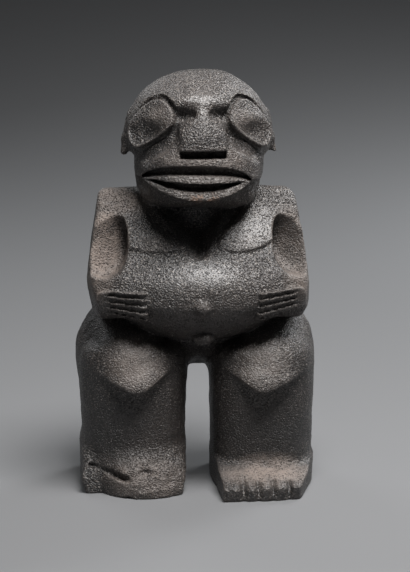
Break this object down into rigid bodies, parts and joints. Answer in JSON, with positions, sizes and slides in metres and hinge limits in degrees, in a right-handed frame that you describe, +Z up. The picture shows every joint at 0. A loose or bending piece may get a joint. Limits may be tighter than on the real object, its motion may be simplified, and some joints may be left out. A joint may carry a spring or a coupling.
{
  "type": "stone tiki",
  "caption": "Standing stone tiki figure with a big head, goggle eyes, hands on the belly, split legs and a broken foot; a free-standing carved ornament.",
  "frame": {"origin": "middle of the bounding box in plan, on the floor that both soles stand on", "axes": "+Z up the figure from the soles to the crown; -Y the way the face, belly and toes look; +X towards the figure's own left, which is the viewer's right"},
  "size_m": [0.2424, 0.1708, 0.4099],
  "materials": {
    "stone": "dark brown-black basalt, finely pecked all over, with a dull sheen where it is rubbed smooth"
  },
  "bodies": {
    "root": {"stone_tiki": "stone"}
  },
  "joints": []
}
